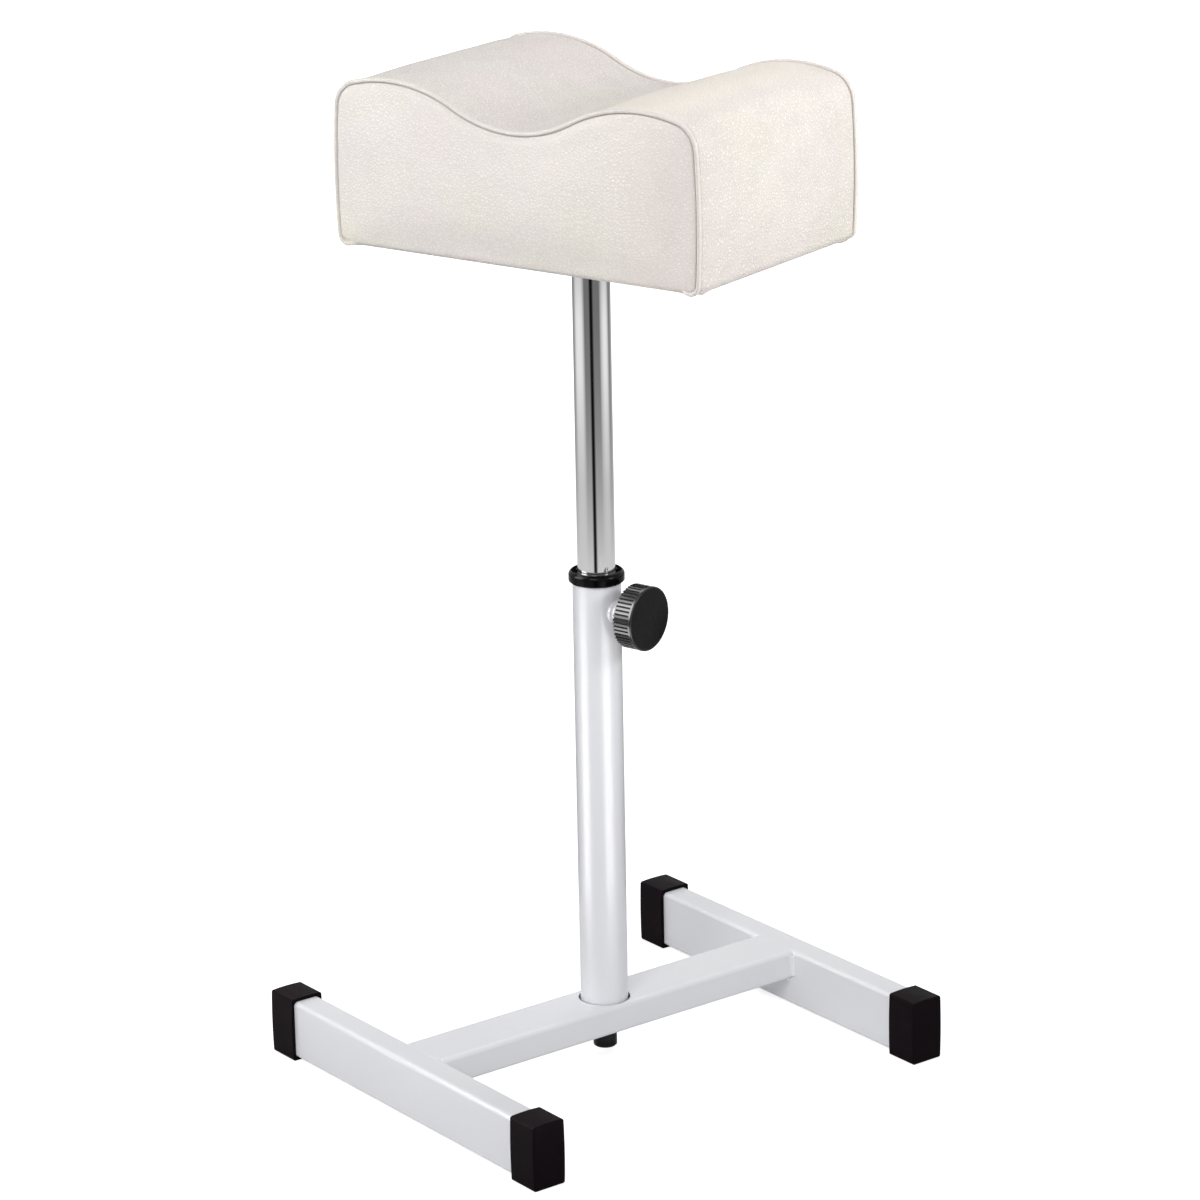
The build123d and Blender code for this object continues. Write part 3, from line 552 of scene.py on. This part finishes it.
def make_piece(name, points, faces, material, smooth=True):
    mesh = make_mesh(name, points, faces)
    mesh.validate()
    mesh.materials.append(material)
    if smooth:
        mesh.polygons.foreach_set("use_smooth", [True] * len(mesh.polygons))
    mesh.update()
    piece = bpy.data.objects.new(name, mesh)
    scene.collection.objects.link(piece)
    return piece


def rows_of_three(items, field):
    """A field of a mesh's items, such as its vertices' coordinates."""
    flat = np.zeros(len(items) * 3, np.float32)
    items.foreach_get(field, flat)
    return flat.reshape(-1, 3).astype(float)


def tree_of(points):
    tree = KDTree(len(points))
    for index, point in enumerate(points):
        tree.insert(Vector(point), index)
    tree.balance()
    return tree


seam_line = outline(PIPE_SINK, PIPE_R, piping=True)
seam_points = np.concatenate([np.c_[seam_line[:, 0], np.full(len(seam_line), side * SEAM_V), seam_line[:, 1]]
                              for side in (-1, 1)])
seam_tree = tree_of(seam_points)


def seam_distance(points):
    return np.array([seam_tree.find(Vector(point))[2] for point in points])


def ease(value, low, high):
    """0 below low, 1 above high, smooth between."""
    t = np.clip((value - low) / (high - low), 0, 1)
    return t * t * (3 - 2 * t)


# The cover is blown up as cloth from a slightly smaller form, held near its seams and underneath
SHRINK, VOXEL, HELD_NEAR, HELD_LOW, MOVE_MOST = 1.2, 4.6, 5.0, 2.0, 3.2
CLOTH_MASS, STIFFNESS, BENDING, PRESSURE, QUALITY, STEPS = 0.3, 25, 2.0, 4.0, 6, 20
# The finished cover takes its moves from the nearest points, the more the freer it is of seam and floor
NEAREST, NEAR_BLUR, FREE_OF_SEAM, FREE_OF_FLOOR = 6, 1.0, (3.0, 26.0), (2.0, 16.0)


def swell():
    """(points, offsets) of the pressed-out cover, in cushion millimetres."""
    points, faces = cushion_form(SHRINK)
    blank = make_piece("swell_blank", points * MM, faces, LEATHER)
    remesh = blank.modifiers.new("remesh", "REMESH")
    remesh.mode = "VOXEL"
    remesh.voxel_size = VOXEL * MM
    depsgraph = bpy.context.evaluated_depsgraph_get()
    mesh = bpy.data.meshes.new_from_object(blank.evaluated_get(depsgraph))
    bpy.data.objects.remove(blank)
    pad = bpy.data.objects.new("swell_pad", mesh)
    scene.collection.objects.link(pad)
    rest = rows_of_three(mesh.vertices, "co") / MM
    held = pad.vertex_groups.new(name="held")
    near = seam_distance(rest)
    for i in np.nonzero((near < HELD_NEAR) | (rest[:, 2] < SHRINK + HELD_LOW))[0]:
        held.add([int(i)], 1.0, "REPLACE")
    cloth = pad.modifiers.new("cloth", "CLOTH")
    settings = cloth.settings
    settings.quality = QUALITY
    settings.mass = CLOTH_MASS
    settings.vertex_group_mass = "held"
    settings.tension_stiffness = settings.compression_stiffness = STIFFNESS
    settings.bending_stiffness = BENDING
    settings.use_pressure = True
    settings.uniform_pressure_force = PRESSURE
    settings.effector_weights.gravity = 0
    cloth.collision_settings.use_collision = False
    cloth.collision_settings.use_self_collision = False
    cloth.point_cache.frame_start, cloth.point_cache.frame_end = 1, STEPS
    for step in range(1, STEPS + 1):
        scene.frame_set(step)
    depsgraph = bpy.context.evaluated_depsgraph_get()
    blown = rows_of_three(pad.evaluated_get(depsgraph).data.vertices, "co") / MM
    scene.frame_set(1)
    bpy.data.objects.remove(pad)
    offsets = blown - rest
    length = np.linalg.norm(offsets, axis=1, keepdims=True)
    print("swell: points", len(rest), "largest move mm", round(float(length.max()), 2),
          "median", round(float(np.median(length)), 2))
    offsets *= np.minimum(1, MOVE_MOST / np.maximum(length, 1e-9))
    return rest, offsets


def cover_points():
    """(points, faces, distances from the seams) of the cover, in cushion millimetres."""
    points, faces = cushion_form()
    near = seam_distance(points)
    rest, offsets = swell()
    tree = tree_of(rest)
    free = ease(near, *FREE_OF_SEAM) * ease(points[:, 2], *FREE_OF_FLOOR)
    moved = np.zeros_like(points)
    for i, point in enumerate(points):
        found = tree.find_n(Vector(point), NEAREST)
        weights = np.array([1 / (distance + NEAR_BLUR) ** 2 for _, _, distance in found])
        moved[i] = (offsets[[index for _, index, _ in found]] * weights[:, None]).sum(0) / weights.sum()
    points = points + moved * free[:, None]
    return points, faces, near


def normals_of(points, faces):
    mesh = make_mesh("unshifted", points, faces)
    mesh.update()
    normals = rows_of_three(mesh.vertex_normals, "vector")
    bpy.data.meshes.remove(mesh)
    return normals


# Slow unevenness of hand-filled foam, which fades toward the seams and the floor: its size, its fractal's
# fineness, step and octaves, and how far off it sets in
UNEVEN, UNEVEN_SIZE, UNEVEN_FRACTAL = 0.45, 46.0, (1.0, 2.0, 3)
UNEVEN_OFF_SEAM, UNEVEN_OFF_FLOOR = (1.5, 14.0), (1.0, 10.0)
# Tucks fan out from each lower corner, which lies this far in from the length and the seam, and up
CORNER_IN, CORNER_SHORT, CORNER_UP = 4, 2, 2.0
TUCK_DEPTH, TUCK_REACH, TUCK_START, TUCK_OFF_SEAM = 1.3, 17.0, (0.5, 4.0), (1.5, 4.0)
TUCKS, TUCK_TURN_U, TUCK_TURN_V, BAND_EDGE = 5.0, 1.7, 0.6, 1
# The underside is flat against the board inside the leather's turned-in edge
BOARD_UNDER, EDGE_U, EDGE_V, UNDERSIDE = 2.6, 107.0, 63.0, 1.2
# Painted shade beside the seams, in the creases where shade falls: how dark, and the distances between which
# it fades; none at the floor
BAND_SEAM_SHADE, PANEL_SEAM_SHADE, SEAM_SHADE_OFF_FLOOR = (0.8, 2.3, 3.5), (0.5, 1.8, 2.7), (3, 7)

cover, cover_faces, near_seam = cover_points()
outward = normals_of(cover, cover_faces)
wave = np.array([noise.fractal(Vector(point / UNEVEN_SIZE), *UNEVEN_FRACTAL) for point in cover])
shift = UNEVEN * wave * ease(near_seam, *UNEVEN_OFF_SEAM) * ease(cover[:, 2], *UNEVEN_OFF_FLOOR)
for side_u in (-1, 1):
    for side_v in (-1, 1):
        corner = np.array((side_u * (LENGTH / 2 - CORNER_IN), side_v * (SEAM_V - CORNER_SHORT), CORNER_UP))
        away = cover - corner
        reach = np.linalg.norm(away, axis=1)
        angle = np.arctan2(away[:, 2], -side_v * away[:, 1])
        fold = 0.5 + 0.5 * np.cos(TUCKS * 2 * angle + TUCK_TURN_U * side_u + TUCK_TURN_V * side_v)
        fade = (1 - ease(reach, TUCK_START[1], TUCK_REACH)) * ease(reach, *TUCK_START)
        fade *= ease(near_seam, *TUCK_OFF_SEAM)
        shift = shift - TUCK_DEPTH * fold**2 * fade * (np.abs(cover[:, 1]) < SEAM_V - BAND_EDGE)
cover = cover + outward * shift[:, None]
inner = (cover[:, 2] < UNDERSIDE) & (np.abs(cover[:, 0]) < EDGE_U) & (np.abs(cover[:, 1]) < EDGE_V)
cover[inner, 2] = BOARD_UNDER
cushion = make_piece("cushion_cover", in_row(cover), cover_faces, LEATHER)
on_band = np.abs(cover[:, 1]) < SEAM_V
# painted shade beside the seams, kept on the cover as an attribute
band_seam_shade, panel_seam_shade = (dark * (1 - ease(near_seam, *fade)) for dark, *fade in (BAND_SEAM_SHADE, PANEL_SEAM_SHADE))
painted_seam_shade = np.where(on_band, band_seam_shade, panel_seam_shade) * ease(cover[:, 2], *SEAM_SHADE_OFF_FLOOR)
for kind, values in (("seam_shade", painted_seam_shade), ("coarse", on_band.astype(float))):
    cushion.data.attributes.new(kind, "FLOAT", "POINT").data.foreach_set("value", values.tolist())
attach(cushion, "mast")
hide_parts("cover_band", "front_panel", "rear_panel", "foam_core")


# ---- Piping: a sewn welt on each seam, its ends tucked under the cover
PIPE_SIDES, SWING, SWING_SIZE = 14, 0.035, 9
WELT_END = ((12, 3.4, 5.0), (8, 2.2, 3.0), (4, 0.7, 0.9))  # past the corner, up, and in from the seam


def prism_sides(low, high, count):
    """Faces between two rings of points, given by the first of each."""
    return [(low + k, low + (k + 1) % count, high + (k + 1) % count, high + k) for k in range(count)]


def tube(name, path, radii, sides, material):
    """Closed tube along a path, with its own radius at each point."""
    ahead = np.gradient(path, axis=0)
    ahead /= np.linalg.norm(ahead, axis=1, keepdims=True)
    steady = np.array((0.0, 1.0, 0.0))
    points, faces = [], []
    for i, (place, way) in enumerate(zip(path, ahead)):
        across = np.cross(way, steady)
        across /= np.linalg.norm(across)
        lift = np.cross(across, way)
        for k in range(sides):
            angle = 2 * math.pi * k / sides
            points.append(place + radii[i] * (math.cos(angle) * across + math.sin(angle) * lift))
        if i:
            faces += prism_sides((i - 1) * sides, i * sides, sides)
    faces.append(tuple(range(sides))[::-1])
    faces.append(tuple(len(points) - sides + k for k in range(sides)))
    return make_piece(name, in_row(np.array(points)), faces, material)


def welt(name, side, node):
    start = np.array([(seam_line[0][0] - step, seam_line[0][1] + lift) for step, lift, _ in WELT_END])
    line = np.concatenate((start, seam_line, start[::-1] * (-1, 1)))
    depth = np.full(len(line), SEAM_V)
    tucked = SEAM_V - np.array([tuck for *_, tuck in WELT_END])
    depth[:len(tucked)], depth[-len(tucked):] = tucked, tucked[::-1]
    path = np.c_[line[:, 0], side * depth, line[:, 1]]
    swing = np.array([noise.noise(Vector((u / SWING_SIZE, v, w / SWING_SIZE))) for u, v, w in path])
    piece = tube(name, path, PIPE_R * (1 + SWING * swing), PIPE_SIDES, WELT_LEATHER)
    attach(piece, "mast")
    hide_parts(node)


welt("front_welt", -1, "front_piping")
welt("rear_welt", 1, "rear_piping")

# ---- Dust cloth under the board, cut out round the plate, and its staples
CLOTH_HALF_U, CLOTH_HALF_V, HOLE_HALF_U, HOLE_HALF_V = 129.0, 75.8, 62.0, 47.0
CLOTH_TOP, CLOTH_THICK, CLOTH_ROWS = -0.1, 0.45, (75, 43)
SAG, SAG_SIZE, SAG_SLICE, SAG_EDGE = 0.18, 14, 3.0, 12


def cloth_piece():
    hole_u = (-HOLE_HALF_U - MIDDLE_U, HOLE_HALF_U - MIDDLE_U)
    hole_v = (-HOLE_HALF_V - MIDDLE_V, HOLE_HALF_V - MIDDLE_V)
    across = sorted({*np.linspace(-CLOTH_HALF_U, CLOTH_HALF_U, CLOTH_ROWS[0]), *hole_u})
    deep = sorted({*np.linspace(-CLOTH_HALF_V, CLOTH_HALF_V, CLOTH_ROWS[1]), *hole_v})
    points, faces = [], []
    for side in (0, 1):
        for v in deep:
            for u in across:
                sag = SAG * noise.noise(Vector((u / SAG_SIZE, v / SAG_SIZE, SAG_SLICE)))
                sag *= min(1, (CLOTH_HALF_U - abs(u)) / SAG_EDGE, (CLOTH_HALF_V - abs(v)) / SAG_EDGE)
                points.append((u, v, CLOTH_TOP - CLOTH_THICK * side - abs(sag)))
    wide, layer = len(across), len(across) * len(deep)
    cells = {}
    for j in range(len(deep) - 1):
        for i in range(wide - 1):
            mid_u, mid_v = (across[i] + across[i + 1]) / 2, (deep[j] + deep[j + 1]) / 2
            if not (hole_u[0] < mid_u < hole_u[1] and hole_v[0] < mid_v < hole_v[1]):
                cells[i, j] = (j * wide + i, j * wide + i + 1, (j + 1) * wide + i + 1, (j + 1) * wide + i)
    for (i, j), (a, b, c, d) in cells.items():
        faces += [(a, b, c, d), (layer + d, layer + c, layer + b, layer + a)]
        edges = {(i, j - 1): (a, b), (i + 1, j): (b, c), (i, j + 1): (c, d), (i - 1, j): (d, a)}
        for beside, (p, q) in edges.items():
            if beside not in cells:
                faces.append((q, p, layer + p, layer + q))
    used = sorted({index for face in faces for index in face})
    renumber = {old: new for new, old in enumerate(used)}
    points = np.array(points)[used]
    faces = [tuple(renumber[index] for index in face) for face in faces]
    return make_piece("dust_cloth", in_row(points), faces, CLOTH, smooth=False)


cloth = cloth_piece()
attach(cloth, "mast")
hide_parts("bottom_cloth")

STAPLE_LONG, STAPLE_WIRE, STAPLE_IN, STAPLE_END, STAPLE_GAP, STAPLE_TILT = 10.0, 0.7, 5.0, 14, 24.0, 0.12
LEG_UP, BACK_UP, BACK_DOWN, BACK_SHORT, STAPLE_SEED = 0.9, -0.15, -0.55, 0.45, 7


def staples_piece():
    half_long, half_wire = STAPLE_LONG / 2, STAPLE_WIRE / 2
    profile = [(-half_long, LEG_UP), (-half_long, BACK_UP), (-half_long + BACK_SHORT, BACK_DOWN)]
    profile += [(-run, rise) for run, rise in profile[::-1]]
    corners = ((-1, -1), (1, -1), (1, 1), (-1, 1))
    sides = len(corners)
    points, faces, places = [], [], []
    rng = np.random.default_rng(STAPLE_SEED)
    for half, other, turned in ((CLOTH_HALF_U, CLOTH_HALF_V, False), (CLOTH_HALF_V, CLOTH_HALF_U, True)):
        count = int(2 * (half - STAPLE_IN) // STAPLE_GAP)
        for along in np.linspace(-half + STAPLE_END, half - STAPLE_END, count):
            for side in (-1, 1):
                places.append((along, side * (other - STAPLE_IN), turned))
    for along, aside, turned in places:
        tilt = rng.normal(0, STAPLE_TILT) + (math.pi / 2 if turned else 0)
        u, v = (aside, along) if turned else (along, aside)
        start = len(points)
        for i, (run, rise) in enumerate(profile):
            before, after = profile[max(i - 1, 0)], profile[min(i + 1, len(profile) - 1)]
            way = np.subtract(after, before)
            way = way / np.linalg.norm(way)
            for a, b in corners:
                run_i, side_i = run - way[1] * b * half_wire, a * half_wire
                points.append((u + run_i * math.cos(tilt) - side_i * math.sin(tilt),
                               v + run_i * math.sin(tilt) + side_i * math.cos(tilt),
                               rise + way[0] * b * half_wire + CLOTH_TOP - CLOTH_THICK))
            if i:
                faces += prism_sides(start + sides * (i - 1), start + sides * i, sides)
        last = len(points) - sides
        faces += [(start, start + 3, start + 2, start + 1), (last, last + 1, last + 2, last + 3)]
    return make_piece("staples", in_row(np.array(points)), faces, STEEL, smooth=False)


staples = staples_piece()
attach(staples, "mast")

# ---- Studio: white floor, soft lamps, and cards that only glossy surfaces see
SKY, FLOOR_WHITE, WHITE_GLOW = (0.985, 0.99, 1.0), (0.8,) * 3, (1.0,) * 3
SKY_LEVEL, FLOOR_LEVEL, MIRRORED_LEVEL = 0.47, 0.72, 0.15
FLOOR_HALF, FLOOR_WHITENS = 15.0, (0.5, 2.5)  # metres from the middle

world = bpy.data.worlds.new("studio")
scene.world = world
world.use_nodes = True
sky = Nodes(world.node_tree)
soft = sky.fill(sky.tree.nodes["Background"], (SKY, SKY_LEVEL))
white = sky.fill(sky.add("ShaderNodeBackground"), (WHITE_GLOW, 1.0))
plain = sky.seen_by("Is Camera Ray", "Is Glossy Ray", "Is Transmission Ray")
mixed = sky.fill(sky.add("ShaderNodeMixShader"), (plain, soft.outputs[0], white.outputs[0]))
sky.feed(sky.tree.nodes["World Output"].inputs["Surface"], mixed.outputs[0])


def floor_material():
    """Matt white that keeps the shadow; the camera also gets a glow, stronger far from the object."""
    s = Shade("floor")
    matt = s.fill(s.add("ShaderNodeBsdfDiffuse"), (FLOOR_WHITE,)).outputs[0]
    whitening = s.span(s.vectors("LENGTH", s.place, output="Value"), *FLOOR_WHITENS, FLOOR_LEVEL, 1.0)
    seen = s.maths("MULTIPLY", s.seen_by("Is Camera Ray", "Is Transmission Ray"), whitening)
    glow = s.glow(WHITE_GLOW, s.maths("MULTIPLY_ADD", s.seen_by("Is Glossy Ray"), MIRRORED_LEVEL, seen))
    return s.surface(s.fill(s.add("ShaderNodeAddShader"), (matt, glow)).outputs[0])


floor_corners = [(x * FLOOR_HALF, y * FLOOR_HALF, 0) for x, y in ((-1, -1), (1, -1), (1, 1), (-1, 1))]
floor = make_piece("floor", floor_corners, [(0, 1, 2, 3)], floor_material(), smooth=False)


def around(turn, radius, height):
    """A place at an angle to the right of the camera's side, at a distance and a height."""
    turn = math.radians(turn)
    way = camera_side * math.cos(turn) + level_right * math.sin(turn)
    return Vector((way.x * radius, way.y * radius, height))


LAMPS = (  # name, degrees from the camera's side, radius, height, height aimed at, size, watts, spread
    ("key", -15, 4.2, 3.4, 0.35, 2.4, 88.0, 180),
    ("side", 64, 0.95, 0.85, 0.62, 0.35, 0.58, 50),
    ("top", 180, 2.7, 4.1, 0.2, 2.6, 47.0, 180),
)
for name, turn, radius, height, aim, size, watts, spread in LAMPS:
    light = bpy.data.lights.new(name, "AREA")
    light.size, light.energy, light.spread = size, watts, math.radians(spread)
    lamp = bpy.data.objects.new(name, light)
    scene.collection.objects.link(lamp)
    lamp.location = around(turn, radius, height)
    lamp.rotation_mode = "QUATERNION"
    lamp.rotation_quaternion = (Vector((0, 0, aim)) - lamp.location).to_track_quat("-Z", "Y")

# A ring of cards round the object, seen only in its reflections: dark, bright and black parts
RING_R, RING_TOP, RING_SIDES = 1.05, 0.34, 96
RING_TURNS = (  # degrees from the camera's side, share of the bright card
    (-180, 1.0), (-162, 1.0), (-150, 0.0), (-124, 0.35), (-108, 0.9), (-84, 1.0), (-64, 0.92), (-52, 0.45),
    (-44, 0.0), (44, 0.0), (52, 0.4), (64, 0.9), (84, 1.0), (98, 0.85), (113, 0.15), (122, 0.0), (140, 0.3),
    (155, 0.3), (162, 1.0), (180, 1.0),
)
RING_LINE = ((-18, 0.0), (-11, 0.85), (-8, 1.0), (0, 1.0), (4, 0.75), (11, 0.0))
# Heights in metres, glow there, where the ring is dark and where it is bright
RING_DARK = ((0.02, 0.73), (0.045, 0.60), (0.097, 0.42), (0.148, 0.30), (0.20, 0.235), (0.25, 0.2),
             (0.34, 0.165))
RING_BRIGHT = ((0.02, 0.72), (0.097, 0.68), (0.148, 0.80), (0.2, 0.98), (0.25, 1.0), (0.30, 0.69),
               (0.34, 0.62))
RING_BLACK = (0.005,) * 3


def curve(s, value, pairs, low, high):
    """A grey over a value between low and high, from pairs of a value and a level."""
    stops = [((place - low) / (high - low), (level,) * 3) for place, level in pairs]
    return s.ramp(s.span(value, low, high, 0.0, 1.0), *stops)


def ring_material():
    """A glow by the turn from the camera's side and by height, with a black line in front."""
    s = Shade("ring")
    radial = s.add("ShaderNodeTexGradient", gradient_type="RADIAL")
    s.feed(radial.inputs["Vector"], s.mapped("Rotation", (0, 0, -math.atan2(camera_side.y, camera_side.x))))
    turn = s.span(radial.outputs["Fac"], 0.0, 1.0, -180, 180)
    share, line = (curve(s, turn, pairs, -180, 180) for pairs in (RING_TURNS, RING_LINE))
    dark, bright = (curve(s, s.height(), pairs, 0, RING_TOP) for pairs in (RING_DARK, RING_BRIGHT))
    return s.surface(s.glow(s.mix(line, s.mix(share, dark, bright), RING_BLACK), 1.0))


def strip_material(strength, fade):
    """A glow that sets in between the two heights of the fade."""
    s = Shade("strip")
    return s.surface(s.glow(WHITE_GLOW, s.span(s.height(), *fade, 0.0, strength, "SMOOTHSTEP")))


def only_reflected(card):
    card.visible_camera = card.visible_diffuse = card.visible_shadow = card.visible_transmission = False


ring_points = [tuple(around(360 * i / RING_SIDES, RING_R, height)) for height in (0.0, RING_TOP)
               for i in range(RING_SIDES)]
ring_faces = prism_sides(0, RING_SIDES, RING_SIDES)
only_reflected(make_piece("ring_card", ring_points, ring_faces, ring_material(), smooth=False))

CARDS = (  # upright: degrees from the camera's side, radius, heights, glow, heights where it sets in
    (-150, -100, 1.10, 1.35, 2.6, 5.5, (1.35, 1.5)),
    (-100, -58, 1.10, 0.35, 2.6, 5.5, (0.35, 0.36)),
    (-100, -66, 1.09, 0.45, 1.5, 13.0, (0.42, 0.5)),
    (163, 197, 1.10, 0.5, 0.9, 0.0, (0.0, 0.1)),
)
FLAT_CARDS = (  # on the floor: degrees from the camera's side, near and far radius, glow
    (-11, 4, 0.84, 1.05, 0.0),
    (-90, -53, 0.31, 0.99, 7.5),
    (19, 58, 0.31, 0.99, 7.5),
    (110, 168, 0.30, 1.03, 0.0),
    (-168, -116, 0.30, 1.03, 0.0),
)
FLAT_HIGH, FLAT_FADE, CARD_STEPS = 0.002, (-1.0, 0.0), 9


def curved_card(name, first, last, ends, material):
    """A card between two angles, each end of it given as a radius and a height."""
    turns = np.linspace(first, last, CARD_STEPS)
    corners = [tuple(around(turn, radius, height)) for radius, height in ends for turn in turns]
    sides = [(i, i + 1, CARD_STEPS + i + 1, CARD_STEPS + i) for i in range(CARD_STEPS - 1)]
    only_reflected(make_piece(name, corners, sides, material, smooth=False))


for number, (first, last, radius, low, high, glow, fade) in enumerate(CARDS):
    curved_card(f"card_{number}", first, last, ((radius, low), (radius, high)), strip_material(glow, fade))
for number, (first, last, near, far, glow) in enumerate(FLAT_CARDS):
    curved_card(f"flat_card_{number}", first, last, ((near, FLAT_HIGH), (far, FLAT_HIGH)),
                strip_material(glow, FLAT_FADE))
